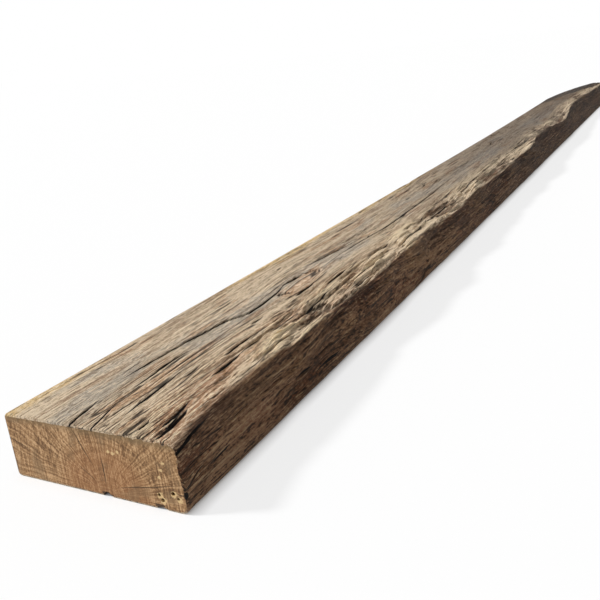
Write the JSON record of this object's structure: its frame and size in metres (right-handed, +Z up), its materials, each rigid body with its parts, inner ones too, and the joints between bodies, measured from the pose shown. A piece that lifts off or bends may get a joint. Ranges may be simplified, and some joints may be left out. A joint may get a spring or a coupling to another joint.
{
  "type": "reclaimed oak plank",
  "caption": "Long thick weathered oak plank with one waney edge, drying splits, a fresh sawn end and a tapered far end, used as raw stock for beams, shelves and furniture.",
  "frame": {"origin": "on the underside, at the middle of the length and width", "axes": "+Y along the grain from the sawn end to the far end, +X across towards the waney edge, +Z up"},
  "size_m": [0.1703, 3, 0.0647],
  "materials": {
    "weathered_oak": "rough, weathered grey-brown, with a fresh sawn end"
  },
  "bodies": {
    "root": {"oak_plank": "weathered_oak"}
  },
  "joints": []
}
